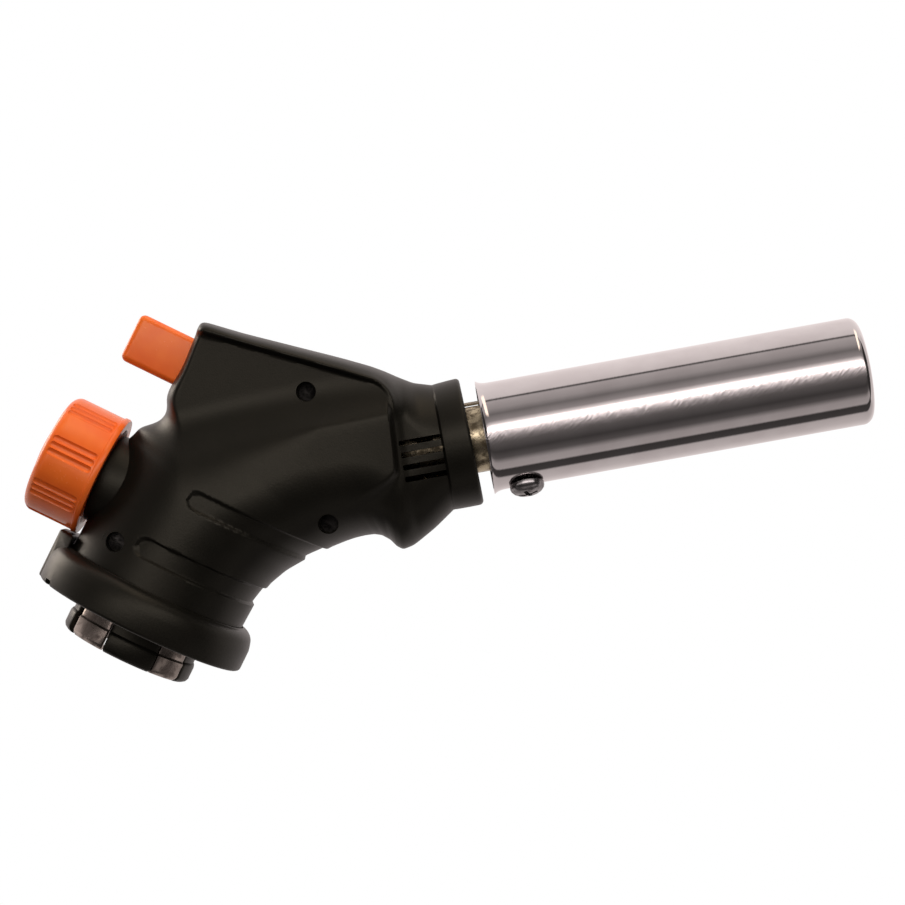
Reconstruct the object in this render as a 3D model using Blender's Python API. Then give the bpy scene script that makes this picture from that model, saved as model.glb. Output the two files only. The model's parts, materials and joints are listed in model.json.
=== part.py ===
"""Butane torch that locks onto a gas cartridge: housing, valve, burner and piezo igniter.

Lengths below are in millimetres, and MM turns them into Blender's metres. The origin is the centre of
the cartridge socket at the foot of the claws, +Z runs up the cartridge's axis and +X points the way
that the flame tube leans.
"""

import math
from collections import namedtuple

import bmesh
import bpy
from mathutils import Vector

MM = 0.001
FIT = 0.3  # gap left between pieces that touch
FAR = 400.0  # size of a cutter that only has to be larger than the torch

# Axes
TUBE_LEAN = math.radians(36.17)  # the burner's axis above the horizontal
TUBE_CROSSES = 37.7  # height at which the burner's axis meets the cartridge's axis
KNOB_HEIGHT = 30.6
PIEZO_HEIGHT = 57.6

# Cartridge socket and base
CLAW_RADIUS = 13.8
BASE_RADIUS = 22.4
BASE_BOTTOM = 7.0
HOUSING_BOTTOM = 14.3
PLASTIC_CLAWS = ((7.5, 45.0), (91.0, 58.0), (187.5, 45.0), (271.0, 58.0))  # middle and width in degrees
METAL_CLAWS = ((-34.5, 35.0), (46.0, 30.0), (145.5, 35.0), (226.0, 30.0))

# Housing
BARREL_RADIUS = 19.0
BLOCK_HALF_WIDTH = 12.6  # half width across the igniter block, between the thumb scoops
RIDGE_HEIGHT = 8.1  # the scoop's lower edge, measured square to the burner's axis
SCOOP_RISE = 9.0
NECK_RADIUS = 12.95
NECK_END = 54.6  # along the burner's axis from TUBE_CROSSES
NECK_RING = 5.7
FRONT_LINE = 40.0  # edge of the bulky body, along the same axis
NECK_BORE = 9.6
WALL = 2.0
KNOB_BOSS_RADIUS = 9.4
KNOB_BOSS_FACE = 19.8
# Housing screws: x and z, how far their posts reach from the middle plane, and where their heads rest
SCREW_POSTS = ((10.4, 64.3, 10.6, 6.0), (26.0, 42.5, 7.5, 4.6), (-10.4, 20.9, 12.4, 9.0))
VENT_HEIGHTS = (1.8, -0.6, -3.1, -5.5)  # slots, measured square to the burner's axis
VENT_START = 40.5
VENT_LENGTH = 8.5
VENT_OPENING = 1.2

# Burner
TUBE_RADIUS = 11.0
TUBE_WALL = 0.6
TUBE_REAR = 57.2
TUBE_FRONT = 136.2
MIXER_RADIUS = 6.55
MIXER_REAR = 34.5
MIXER_FRONT = 72.0
AIR_HOLE_TURN = math.radians(20.0)
ELECTRODE_OFFSET = 8.1  # inside its insulator, from the burner's axis
ELECTRODE_REAR_OFFSET = 7.3  # where it runs bare, close over the mixing tube
TUBE_SCREW_PLACE = TUBE_REAR + 7.2
TUBE_SCREW_TURN = math.radians(18.0)  # from straight under the tube towards the side

# Knob and valve
KNOB_RADIUS = 12.5
KNOB_REAR = 19.6
KNOB_FRONT = 33.0
SPINDLE_RADIUS = 2.0

ACROSS = (math.pi / 2, 0, 0)  # turns a piece's Z to point at -Y, through the housing

# Igniter
BUTTON_TIP = -26.9
BUTTON_WIDTH = 8.6
BUTTON_BOTTOM = 53.9
BUTTON_TOP = 63.9
CASE_REAR = -4.2
CASE_FRONT = 18.2

Section = namedtuple("Section", "front back half_width front_round back_round wall")


def on_tube(along, above):
    """The x and z of a point given along the burner's axis and square to it."""
    x = along * math.cos(TUBE_LEAN) - above * math.sin(TUBE_LEAN)
    z = TUBE_CROSSES + along * math.sin(TUBE_LEAN) + above * math.cos(TUBE_LEAN)
    return x, z


def across_neck(along, radius, wall):
    """A round section of the neck, square to the burner's axis."""
    return Section(on_tube(along, -radius), on_tube(along, radius), radius, radius, radius, wall)


# From the base to the neck's end. Each section is a straight line across the side view, from the front
# or underside to the back or top, with its half width and the radii that round its two edges.
SECTIONS = [
    Section((19.0, HOUSING_BOTTOM), (-19.0, HOUSING_BOTTOM), BARREL_RADIUS, 19.0, 19.0, WALL),
    Section((19.2, 21.0), (-18.8, 21.5), BARREL_RADIUS, 19.0, 19.0, WALL),
    Section((20.2, 26.0), (-18.6, 28.5), BARREL_RADIUS, 19.4, 19.4, WALL),
    Section((22.0, 29.8), (-18.5, 35.0), BARREL_RADIUS, 19.6, 18.0, WALL),
    Section((23.6, 32.6), (-18.2, 39.8), BARREL_RADIUS, 19.6, 15.0, WALL),
    Section((25.2, 35.2), (-16.6, 43.6), 18.8, 19.4, 11.0, WALL),
    Section((26.8, 37.3), (-14.0, 48.2), 18.4, 19.0, 6.0, WALL),
    Section((28.5, 38.9), (-15.2, 52.8), 18.0, 18.6, 3.0, WALL),
    Section((30.2, 40.5), (-14.6, 58.0), 17.6, 18.2, 2.4, WALL),
    Section((31.9, 42.0), (-15.0, 64.0), 17.2, 17.8, 2.4, WALL),
    Section((33.5, 43.3), (-15.1, 67.6), 16.9, 17.4, 2.6, 2.4),
    Section((35.0, 44.3), (-6.5, 69.4), 16.6, 17.0, 3.2, 2.8),
    Section((36.5, 44.8), (3.5, 71.5), 16.2, 16.6, 3.6, 2.8),
    Section((38.3, 44.7), (13.5, 73.6), 15.6, 16.2, 4.0, 2.8),
    Section((40.3, 44.3), (21.0, 74.9), 15.0, 15.8, 5.0, 2.6),
    Section((42.4, 46.4), (25.4, 75.2), 14.4, 15.0, 9.0, 2.4),
    Section((44.4, 50.5), (28.8, 75.6), 13.6, 14.0, 12.0, WALL),
    across_neck(NECK_END - NECK_RING, NECK_RADIUS, WALL),
    across_neck(NECK_END - 2.3, NECK_RADIUS, WALL),
    across_neck(NECK_END - 2.0, NECK_RADIUS, NECK_RADIUS - NECK_BORE),
    across_neck(NECK_END, NECK_RADIUS, NECK_RADIUS - NECK_BORE),
]


def clear_scene():
    for thing in list(bpy.data.objects):
        bpy.data.objects.remove(thing)


def finish(name, colour, roughness, metallic=0.0):
    """A Principled material."""
    made = bpy.data.materials.new(name)
    made.use_nodes = True
    shader = made.node_tree.nodes["Principled BSDF"]
    shader.inputs["Base Color"].default_value = (*colour, 1.0)
    shader.inputs["Roughness"].default_value = roughness
    shader.inputs["Metallic"].default_value = metallic
    return made


def axis_empty(name, location, turn_about_y):
    """An empty whose local Z lies on one of the torch's axes."""
    empty = bpy.data.objects.new(name, None)
    empty.location = Vector(location) * MM
    empty.rotation_euler = (0, turn_about_y, 0)
    bpy.context.collection.objects.link(empty)
    return empty


def as_object(name, mesh, parent, look=None):
    """Closes a bmesh that was drawn in millimetres into an object."""
    bmesh.ops.scale(mesh, vec=(MM, MM, MM), verts=mesh.verts)
    bmesh.ops.recalc_face_normals(mesh, faces=mesh.faces)
    data = bpy.data.meshes.new(name)
    mesh.to_mesh(data)
    mesh.free()
    made = bpy.data.objects.new(name, data)
    made.parent = parent
    bpy.context.collection.objects.link(made)
    if look:
        data.materials.append(look)
    return made


def smooth(made, degrees=35):
    made.data.shade_smooth()
    made.data.set_sharp_from_angle(angle=math.radians(degrees))
    return made


def turned(name, profile, parent, look=None, steps=32):
    """A solid of revolution about the parent's Z, from (radius, height) points down its outer side."""
    mesh = bmesh.new()
    points = [mesh.verts.new((radius, 0, height)) for radius, height in profile]
    edges = [mesh.edges.new(pair) for pair in zip(points, points[1:])]
    if profile[0][0] or profile[-1][0]:
        edges.append(mesh.edges.new((points[-1], points[0])))
    bmesh.ops.spin(
        mesh, geom=points + edges, axis=(0, 0, 1), cent=(0, 0, 0), steps=steps, angle=2 * math.pi,
        use_merge=True,
    )
    bmesh.ops.remove_doubles(mesh, verts=mesh.verts, dist=0.001)
    return smooth(as_object(name, mesh, parent, look))


def rod(radius, low, high):
    """Profile of a plain cylinder."""
    return [(0, high), (radius, high), (radius, low), (0, low)]


def ring(inner, outer, low, high):
    """Profile of a plain ring."""
    return [(outer, high), (outer, low), (inner, low), (inner, high)]


def block(name, low, high, parent=None, look=None):
    """A box between two corners."""
    mesh = bmesh.new()
    bmesh.ops.create_cube(mesh, size=1)
    low, high = Vector(low), Vector(high)
    bmesh.ops.scale(mesh, vec=high - low, verts=mesh.verts)
    bmesh.ops.translate(mesh, vec=(low + high) / 2, verts=mesh.verts)
    return as_object(name, mesh, parent, look)


def rounded(made, width, segments=2):
    """A Bevel modifier, with its width in millimetres."""
    bevel = made.modifiers.new("bevel", "BEVEL")
    bevel.width = width * MM
    bevel.segments = segments
    return made


def helper(made):
    """Marks an object as a tool for Booleans, which isn't part of the torch."""
    made.hide_render = True
    made.display_type = "WIRE"
    return made


def boolean(made, tool, operation, solver="EXACT"):
    step = made.modifiers.new(tool.name, "BOOLEAN")
    step.operation = operation
    step.solver = solver
    step.object = helper(tool)
    return made


def cut(made, *tools):
    for tool in tools:
        boolean(made, tool, "DIFFERENCE")
    return made


def join(made, *tools):
    for tool in tools:
        boolean(made, tool, "UNION")
    return made


def placed(made, location, rotation=(0, 0, 0)):
    made.location = Vector(location) * MM
    made.rotation_euler = rotation
    return made


def sector(name, profile, middle, width, parent):
    """A turned profile that fills only part of the circle. Angles run from -Y towards +X."""
    mesh = bmesh.new()
    start = math.radians(middle - width / 2 - 90)
    points = [
        mesh.verts.new((radius * math.cos(start), radius * math.sin(start), height))
        for radius, height in profile
    ]
    face = mesh.faces.new(points)
    steps = max(2, round(width / 9))
    bmesh.ops.spin(
        mesh, geom=[face], axis=(0, 0, 1), cent=(0, 0, 0), steps=steps, angle=math.radians(width),
    )
    return as_object(name, mesh, parent)


def rounding(inside, radius):
    """How much of the full width is reached this far inside a rounded edge."""
    if inside >= radius:
        return 1.0
    return math.sqrt(max(0.0, 1 - (1 - inside / radius) ** 2))


def ease(value):
    """A smooth step from 0 to 1."""
    value = min(max(value, 0.0), 1.0)
    return value * value * (3 - 2 * value)


def full_width(x, z, section_width):
    """Half width before the edges are rounded: scooped above the ridge, and slim in the neck."""
    along = x * math.cos(TUBE_LEAN) + (z - TUBE_CROSSES) * math.sin(TUBE_LEAN)
    above = (z - TUBE_CROSSES) * math.cos(TUBE_LEAN) - x * math.sin(TUBE_LEAN)
    scoop = ease((above - RIDGE_HEIGHT) / SCOOP_RISE)
    bulky = section_width + (min(BLOCK_HALF_WIDTH, section_width) - section_width) * scoop
    neck = min(NECK_RADIUS, section_width)
    return bulky + (neck - bulky) * ease((along - FRONT_LINE) / 1.2)


def section_point(section, share, inset):
    """A point of a section's half outline; share runs from the front edge, 0, to the back edge, 1."""
    front, back = Vector(section.front), Vector(section.back)
    length = (back - front).length
    reach = inset + (length - 2 * inset) * (1 - math.cos(math.pi * share)) / 2
    x, z = front.lerp(back, reach / length)
    width = full_width(x, z, section.half_width) - inset
    front_edge = rounding(reach - inset, max(section.front_round - inset, 0.3))
    back_edge = rounding(length - reach - inset, max(section.back_round - inset, 0.3))
    return x, width * front_edge * back_edge, z


def housing_shell(name, look, across=16):
    """The whole housing as one open tube with its wall, before it is split."""
    mesh = bmesh.new()
    loops = []
    for section in SECTIONS:
        pair = []
        for inset in (0.0, section.wall):
            half = [section_point(section, step / across, inset) for step in range(across + 1)]
            whole = half + [(x, -y, z) for x, y, z in reversed(half[1:-1])]
            pair.append([mesh.verts.new(point) for point in whole])
        loops.append(pair)
    outer, inner = zip(*loops)

    def strip(first, second):
        for step in range(len(first)):
            after = (step + 1) % len(first)
            mesh.faces.new((first[step], first[after], second[after], second[step]))

    for side in (outer, inner):
        for first, second in zip(side, side[1:]):
            strip(first, second)
    strip(outer[0], inner[0])
    strip(outer[-1], inner[-1])
    return smooth(as_object(name, mesh, None, look), 50)


def make_housing(axes, plastic):
    """Two mirror-split shells with the knob boss, screw bosses, vents and button opening."""
    halves = {"housing_right": -1, "housing_left": 1}
    for name, side in halves.items():
        shell = housing_shell(name, plastic)
        boss_profile = rod(KNOB_BOSS_RADIUS, 14.8, KNOB_BOSS_FACE)
        boss = turned(f"{name}_knob_boss", boss_profile, axes["knob"], steps=36)
        join(shell, boss)
        for number, (x, z, reach, _) in enumerate(SCREW_POSTS, 1):
            post = turned(f"{name}_post_{number}", rod(2.9, -reach, reach), None, steps=16)
            join(shell, placed(post, (x, 0, z), ACROSS))
        spindle_hole = turned(f"{name}_spindle_hole", rod(6.3, 10.0, 30.0), axes["knob"], steps=28)
        button_hole = block(
            f"{name}_button_hole",
            (-30, -BUTTON_WIDTH / 2 - FIT, BUTTON_BOTTOM - FIT),
            (-9, BUTTON_WIDTH / 2 + FIT, BUTTON_TOP + FIT),
        )
        cut(shell, spindle_hole, button_hole)
        for number, above in enumerate(VENT_HEIGHTS, 1):
            vent = block(
                f"{name}_vent_{number}",
                (-above - VENT_OPENING / 2, side * 5, VENT_START),
                (-above + VENT_OPENING / 2, side * 25, VENT_START + VENT_LENGTH),
                axes["tube"],
            )
            cut(shell, vent)
        for number, (x, z, reach, seat) in enumerate(SCREW_POSTS, 1):
            shank = turned(f"{name}_screw_hole_{number}", rod(1.5, 1.2 - reach, FAR / 20), None, steps=12)
            head = turned(f"{name}_screw_head_{number}", rod(2.0, seat, FAR / 20), None, steps=16)
            for tool in (shank, head):
                # The exact solver loses the shell where these holes run down the middle of a post.
                boolean(shell, placed(tool, (x, 0, z), ACROSS), "DIFFERENCE", "MANIFOLD")
        keep = block(
            f"{name}_side",
            (-FAR, FIT / 2 if side > 0 else -FAR, -FAR),
            (FAR, FAR if side > 0 else -FIT / 2, FAR),
        )
        boolean(shell, keep, "INTERSECT")


def make_housing_screws(steel):
    for number, (x, z, reach, seat) in enumerate(SCREW_POSTS, 1):
        seat += FIT
        tip = 2.2 - reach
        profile = [(0, seat + 1.2), (1.7, seat + 1.0), (1.7, seat), (1.2, seat), (1.2, tip + 0.8), (0, tip)]
        screw = turned(f"housing_screw_{number}", profile, None, steel, steps=16)
        placed(screw, (x, 0, z), ACROSS)
        slot = block(f"screw_slot_{number}", (-2, -0.25, seat + 0.5), (2, 0.25, seat + 3))
        cut(screw, placed(slot, (x, 0, z), ACROSS))


def make_base(axes, plastic, steel):
    base_profile = [
        (19.35, 15.3), (20.5, 15.0), (21.7, 14.0), (BASE_RADIUS, 12.4), (BASE_RADIUS, 7.9),
        (21.6, BASE_BOTTOM), (14.2, BASE_BOTTOM), (14.2, 8.4), (19.4, 8.4), (19.4, 11.9), (15.6, 11.9),
        (15.6, 14.0), (19.35, 14.0),
    ]
    base = turned("base_ring", base_profile, axes["cartridge"], plastic, steps=48)
    tab = block("base_tab", (-22.6, -4.5, BASE_BOTTOM + 0.1), (-19.5, 4.5, 17.2), axes["cartridge"])
    join(base, rounded(tab, 0.8))

    claw_ring = turned("claw_ring", ring(6.2, 19.0, 8.8, 11.5), axes["cartridge"], plastic, steps=40)
    claw = [
        (CLAW_RADIUS, 0.9), (12.8, 0.0), (11.9, 0.0), (11.9, 9.5), (13.3, 9.5), (13.3, 4.2),
        (CLAW_RADIUS, 3.8),
    ]
    for number, (middle, width) in enumerate(PLASTIC_CLAWS, 1):
        join(claw_ring, sector(f"plastic_claw_{number}", claw, middle, width, axes["cartridge"]))

    plate = turned("bayonet_plate", ring(5.3, 11.4, 7.3, 8.5), axes["cartridge"], steel, steps=36)
    bent = [
        (13.4, 7.9), (13.4, 4.4), (13.7, 4.0), (13.7, 1.0), (12.9, 0.1), (11.9, 0.1), (11.9, 0.9),
        (12.5, 1.3), (12.5, 7.3), (10.5, 7.3), (10.5, 8.5), (12.9, 8.5),
    ]
    for number, (middle, width) in enumerate(METAL_CLAWS, 1):
        join(plate, sector(f"metal_claw_{number}", bent, middle, width, axes["cartridge"]))


def make_valve(axes, brass, steel, rubber, orange, bronze):
    upright = axes["cartridge"]
    shaft = [
        (0, 41.5), (4.0, 41.5), (4.9, 40.6), (4.9, 7.0), (6.4, 7.0), (6.4, 5.8), (4.6, 5.8), (4.6, 7.6),
        (2.3, 7.6), (2.3, 16.0), (0, 17.0),
    ]
    body = turned("valve_body", shaft, upright, brass, steps=28)
    join(
        body,
        turned("valve_side_boss", rod(6.0, 0.0, 13.4), axes["knob"], steps=24),
        turned("valve_outlet_boss", rod(3.8, 0.0, 12.0), axes["tube"], steps=20),
    )
    cut(
        body,
        turned("valve_chamber", rod(2.6, 1.0, 20.0), axes["knob"], steps=20),
        turned("valve_outlet", rod(2.2, 7.0, 20.0), axes["tube"], steps=16),
    )
    nut = bmesh.new()
    bmesh.ops.create_cone(
        nut, cap_ends=True, segments=6, radius1=7.6, radius2=7.6, depth=3.0,
    )
    bmesh.ops.translate(nut, vec=(0, 0, 13.5), verts=nut.verts)
    clamp_nut = as_object("clamp_nut", nut, upright, brass)
    cut(clamp_nut, turned("clamp_nut_bore", rod(5.2, 8.0, 20.0), upright, steps=28))

    turned("inlet_seal", ring(1.9, 4.3, 5.5, 7.3), upright, rubber, steps=24)
    nozzle = [(0, 11.5), (2.0, 11.5), (2.0, 7.9), (1.5, 7.5), (1.5, 5.6), (1.2, 5.2), (0, 5.2)]
    turned("inlet_nozzle", nozzle, upright, brass, steps=16)
    turned("gas_filter", rod(2.0, 11.8, 15.4), upright, bronze, steps=16)

    knob_axis = axes["knob"]
    spindle = [
        (0, 28.4), (SPINDLE_RADIUS, 28.4), (SPINDLE_RADIUS, 12.0), (1.4, 12.0), (1.4, 10.4),
        (2.3, 10.4), (2.3, 5.0), (1.6, 4.4), (0.9, 2.4), (0, 1.6),
    ]
    turned("valve_spindle", spindle, knob_axis, steel, steps=20)
    turned("spindle_o_ring", ring(1.7, 2.4, 10.7, 11.7), knob_axis, rubber, steps=20)
    gland = bmesh.new()
    bmesh.ops.create_cone(gland, cap_ends=True, segments=6, radius1=5.6, radius2=5.6, depth=4.6)
    bmesh.ops.translate(gland, vec=(0, 0, 16.1), verts=gland.verts)
    gland_nut = as_object("gland_nut", gland, knob_axis, brass)
    cut(gland_nut, turned("gland_bore", rod(2.35, 8.0, 22.0), knob_axis, steps=20))

    knob = [
        (8.4, KNOB_FRONT - 1.0), (10.4, KNOB_FRONT - 1.4), (11.9, KNOB_FRONT - 2.0),
        (KNOB_RADIUS, KNOB_FRONT - 3.6), (KNOB_RADIUS, KNOB_REAR), (10.4, KNOB_REAR), (10.4, 28.4),
        (5.0, 28.4), (5.0, 20.2), (2.3, 20.2), (2.3, 30.2), (8.4, 30.2),
    ]
    turned("knob", knob, knob_axis, orange, steps=48)
    cap = [(0, KNOB_FRONT), (5.0, KNOB_FRONT - 0.1), (8.0, KNOB_FRONT - 0.7), (8.1, 31.8), (0, 31.8)]
    turned("knob_cap", cap, knob_axis, orange, steps=36)
    screw = [(0, 31.5), (4.2, 31.5), (4.2, 30.5), (1.6, 30.5), (1.6, 28.8), (0, 28.8)]
    turned("knob_screw", screw, knob_axis, steel, steps=20)


def make_burner(axes, brass, chrome, steel, ceramic):
    tube_axis = axes["tube"]
    turned("gas_pipe", ring(0.9, 1.9, 7.4, 34.0), tube_axis, brass, steps=14)
    jet = [(3.3, 40.6), (3.3, 34.9), (2.3, 34.3), (0.5, 34.3), (0.5, 41.6), (2.2, 41.6)]
    turned("jet", jet, tube_axis, brass, steps=12)

    mixer_profile = [
        (MIXER_RADIUS, MIXER_FRONT), (MIXER_RADIUS, MIXER_REAR), (3.7, MIXER_REAR), (3.7, 41.2), (5.4, 43.0),
        (5.4, MIXER_FRONT),
    ]
    mixer = turned("mixing_tube", mixer_profile, tube_axis, brass, steps=32)
    for number in range(2):
        holes = turned(f"air_holes_{number}", rod(1.9, -20, 20), tube_axis, steps=16)
        cut(mixer, placed(holes, (0, 0, 45.6), (math.pi / 2, 0, number * math.pi / 2 - AIR_HOLE_TURN)))

    curl = 1.9
    bend = [
        (TUBE_RADIUS - curl + curl * math.cos(angle), TUBE_FRONT - curl + curl * math.sin(angle))
        for angle in (math.radians(degrees) for degrees in (90, 60, 30, 0))
    ]
    inside = TUBE_RADIUS - TUBE_WALL
    flare = [
        (TUBE_RADIUS, TUBE_REAR + 4.5), (TUBE_RADIUS + 0.1, TUBE_REAR + 2.5), (TUBE_RADIUS + 0.4, TUBE_REAR),
    ]
    inner = [
        (inside + 0.4, TUBE_REAR), (inside + 0.1, TUBE_REAR + 2.5), (inside, TUBE_REAR + 4.5),
        (inside, TUBE_FRONT - curl), (inside - 1.0, TUBE_FRONT - TUBE_WALL),
        (TUBE_RADIUS - curl, TUBE_FRONT - TUBE_WALL),
    ]
    tube = turned("flame_tube", bend + flare + inner, tube_axis, chrome, steps=48)

    holder = turned("tube_holder", ring(6.85, 10.05, 60.0, 69.0), tube_axis, brass, steps=36)
    for number in range(6):
        turn = 2 * math.pi * (number + 0.5) / 6
        notch = turned(f"holder_notch_{number}", rod(1.7, 50, 80), tube_axis, steps=12)
        cut(holder, placed(notch, (10.6 * math.cos(turn), 10.6 * math.sin(turn), 0)))
    rod_way = turned("holder_rod_way", rod(1.55, 50, 80), tube_axis, steps=12)
    cut(holder, placed(rod_way, (-ELECTRODE_OFFSET, 0, 0)))

    seat = TUBE_RADIUS + 0.2
    head = [
        (0, seat + 2.3), (2.3, seat + 2.1), (3.5, seat + 1.3), (3.5, seat), (1.4, seat), (1.4, 7.4),
        (0, 7.4),
    ]
    screw = turned("tube_screw", head, tube_axis, steel, steps=20)
    slot = block("tube_screw_slot", (-4, -0.4, seat + 1.2), (4, 0.4, seat + 4), tube_axis)
    bores = [turned(f"tube_screw_bore_{n}", rod(1.7, 3.0, 20.0), tube_axis, steps=14) for n in (1, 2)]
    for piece in (screw, slot, *bores):
        placed(piece, (0, 0, TUBE_SCREW_PLACE), (0, math.pi / 2, -TUBE_SCREW_TURN))
    cut(screw, slot)
    cut(tube, bores[0])
    cut(holder, bores[1])

    plate = ring(1.4, MIXER_RADIUS, MIXER_FRONT + FIT, MIXER_FRONT + 2.6)
    flame_holder = turned("flame_holder", plate, tube_axis, steel, steps=32)
    for number in range(8):
        turn = 2 * math.pi * (number + 0.37) / 8
        port = turned(f"flame_port_{number}", rod(1.1, 60, 90), tube_axis, steps=10)
        cut(flame_holder, placed(port, (4.6 * math.cos(turn), 4.6 * math.sin(turn), 0)))

    insulator = turned("electrode_insulator", ring(0.8, 1.2, 60.6, 76.0), tube_axis, ceramic, steps=14)
    placed(insulator, (-ELECTRODE_OFFSET, 0, 0))


def bent_wire(name, places, radius, look):
    """A round wire along points given as x and z, in the middle plane."""
    curve = bpy.data.curves.new(name, "CURVE")
    curve.dimensions = "3D"
    curve.bevel_depth = radius * MM
    curve.bevel_resolution = 1
    curve.use_fill_caps = True
    spline = curve.splines.new("POLY")
    spline.points.add(len(places) - 1)
    for point, (x, z) in zip(spline.points, places):
        point.co = (x * MM, 0, z * MM, 1)
    curve.materials.append(look)
    made = bpy.data.objects.new(name, curve)
    bpy.context.collection.objects.link(made)
    return made


def make_wires(steel, wire):
    bare = [on_tube(along, ELECTRODE_REAR_OFFSET) for along in (44.4, 57.6)]
    sleeved = [on_tube(along, ELECTRODE_OFFSET) for along in (59.8, 78.0, 80.5)]
    bent_wire("electrode", bare + sleeved + [on_tube(82.0, 7.0), on_tube(82.6, 4.6)], 0.45, steel)
    route = [(18.6, 57.6), (20.0, 58.2), (20.6, 60.0), (20.2, 64.0), (21.6, 67.6), (25.2, 69.6), (30.0, 69.8)]
    bent_wire("ignition_wire", route, 0.8, wire)


def coil_points(radius, low, high, turns, per_turn=10):
    for step in range(turns * per_turn + 1):
        angle = 2 * math.pi * step / per_turn
        height = low + (high - low) * step / (turns * per_turn)
        yield radius * math.cos(angle), radius * math.sin(angle), height


def make_igniter(axes, orange, plastic, steel, ceramic):
    half = BUTTON_WIDTH / 2
    body = block("igniter_button", (BUTTON_TIP, -half, BUTTON_BOTTOM), (-9.6, half, BUTTON_TOP), None, orange)
    rounded(body, 0.8)
    flange = block("button_flange", (-11.9, -6.2, 52.9), (-10.4, 6.2, 64.9))
    socket = block("button_socket", (-14.0, -2.3, PIEZO_HEIGHT - 2.3), (-5.0, 2.3, PIEZO_HEIGHT + 2.3))
    join(body, flange)
    cut(body, socket)

    along = axes["piezo"]
    case = block("piezo_case", (-3.2, -4.5, CASE_REAR), (3.2, 4.5, CASE_FRONT), along, plastic)
    cut(case, turned("piezo_bore", rod(2.7, -10.0, 17.2), along, steps=20))
    cut(case, turned("wire_way", rod(1.0, 10.0, 30.0), along, steps=12))
    plunger = [(0, -1.4), (1.9, -1.4), (2.3, -1.9), (2.3, -5.0), (1.9, -5.4), (1.9, -13.4), (0, -13.4)]
    turned("piezo_plunger", plunger, along, plastic, steps=20)
    hammer = [(0, 11.0), (1.6, 11.0), (2.2, 10.2), (2.2, 7.6), (0, 7.6)]
    turned("piezo_hammer", hammer, along, steel, steps=20)
    turned("piezo_crystal", rod(2.2, 11.4, 16.8), along, ceramic, steps=20)

    curve = bpy.data.curves.new("piezo_spring", "CURVE")
    curve.dimensions = "3D"
    curve.bevel_depth = 0.3 * MM
    curve.bevel_resolution = 0
    curve.use_fill_caps = True
    points = list(coil_points(1.7, -0.7, 6.9, 5))
    spline = curve.splines.new("POLY")
    spline.points.add(len(points) - 1)
    for point, place in zip(spline.points, points):
        point.co = (*(Vector(place) * MM), 1)
    curve.materials.append(steel)
    spring = bpy.data.objects.new("piezo_spring", curve)
    spring.parent = along
    bpy.context.collection.objects.link(spring)


def main():
    clear_scene()
    axes = {
        "cartridge": axis_empty("cartridge_axis", (0, 0, 0), 0),
        "tube": axis_empty("tube_axis", (0, 0, TUBE_CROSSES), math.pi / 2 - TUBE_LEAN),
        "knob": axis_empty("knob_axis", (0, 0, KNOB_HEIGHT), -math.pi / 2),
        "piezo": axis_empty("piezo_axis", (0, 0, PIEZO_HEIGHT), math.pi / 2),
    }
    plastic = finish("black_plastic", (0.012, 0.011, 0.009), 0.55)
    orange = finish("orange_plastic", (0.86, 0.14, 0.02), 0.38)
    chrome = finish("chromed_steel", (0.62, 0.58, 0.57), 0.12, 1.0)
    steel = finish("nickel_steel", (0.55, 0.50, 0.46), 0.28, 1.0)
    brass = finish("brass", (0.55, 0.43, 0.20), 0.35, 1.0)
    bronze = finish("sintered_bronze", (0.40, 0.26, 0.14), 0.6, 1.0)
    rubber = finish("rubber", (0.02, 0.02, 0.02), 0.7)
    ceramic = finish("ceramic", (0.85, 0.84, 0.80), 0.3)
    wire = finish("wire_sleeve", (0.5, 0.03, 0.02), 0.45)
    make_housing(axes, plastic)
    make_housing_screws(steel)
    make_base(axes, plastic, steel)
    make_valve(axes, brass, steel, rubber, orange, bronze)
    make_burner(axes, brass, chrome, steel, ceramic)
    make_wires(steel, wire)
    make_igniter(axes, orange, plastic, steel, ceramic)


main()
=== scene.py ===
# %% [markdown]
# # A hand torch for soldering, modelled piece by piece
#
# The torch twists onto a gas cartridge. It has a two-part plastic housing, an orange gas knob at the
# back, an orange igniter button, and a chromed flame tube that leans forward. The working frame is
# already there as simple solids, each on the body that it moves with. This lesson replaces the ones
# that are seen with finer pieces and gives all of them their finishes.

import json
import math

import bpy
import numpy as np
from mathutils import Matrix, Vector

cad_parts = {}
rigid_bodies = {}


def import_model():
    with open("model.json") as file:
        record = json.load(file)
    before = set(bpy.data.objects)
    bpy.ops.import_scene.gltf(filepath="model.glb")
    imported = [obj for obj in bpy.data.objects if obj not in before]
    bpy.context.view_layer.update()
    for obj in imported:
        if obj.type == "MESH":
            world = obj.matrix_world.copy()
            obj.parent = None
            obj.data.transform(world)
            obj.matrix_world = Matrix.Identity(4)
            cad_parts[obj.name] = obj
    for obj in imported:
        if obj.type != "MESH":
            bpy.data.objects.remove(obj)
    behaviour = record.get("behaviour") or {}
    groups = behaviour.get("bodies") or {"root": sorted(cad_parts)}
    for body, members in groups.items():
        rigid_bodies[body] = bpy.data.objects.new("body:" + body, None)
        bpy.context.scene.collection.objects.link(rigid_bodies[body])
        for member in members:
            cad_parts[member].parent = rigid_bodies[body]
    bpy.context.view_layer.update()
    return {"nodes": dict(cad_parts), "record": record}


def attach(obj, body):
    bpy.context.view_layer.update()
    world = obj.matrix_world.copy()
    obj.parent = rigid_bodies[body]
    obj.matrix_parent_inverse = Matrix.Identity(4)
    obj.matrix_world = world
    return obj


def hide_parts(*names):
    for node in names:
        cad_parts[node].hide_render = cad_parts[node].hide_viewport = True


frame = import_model()

# %% [markdown]
# ## Units and axes
#
# Small parts are easier to draw in millimetres about their own axis, as on a lathe, and to set in place
# afterwards. Three axes are enough: the cartridge's, the flame tube's and the knob's. Each is a matrix
# whose Z lies along the axis. The igniter's parts are square and are drawn in place.

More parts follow.
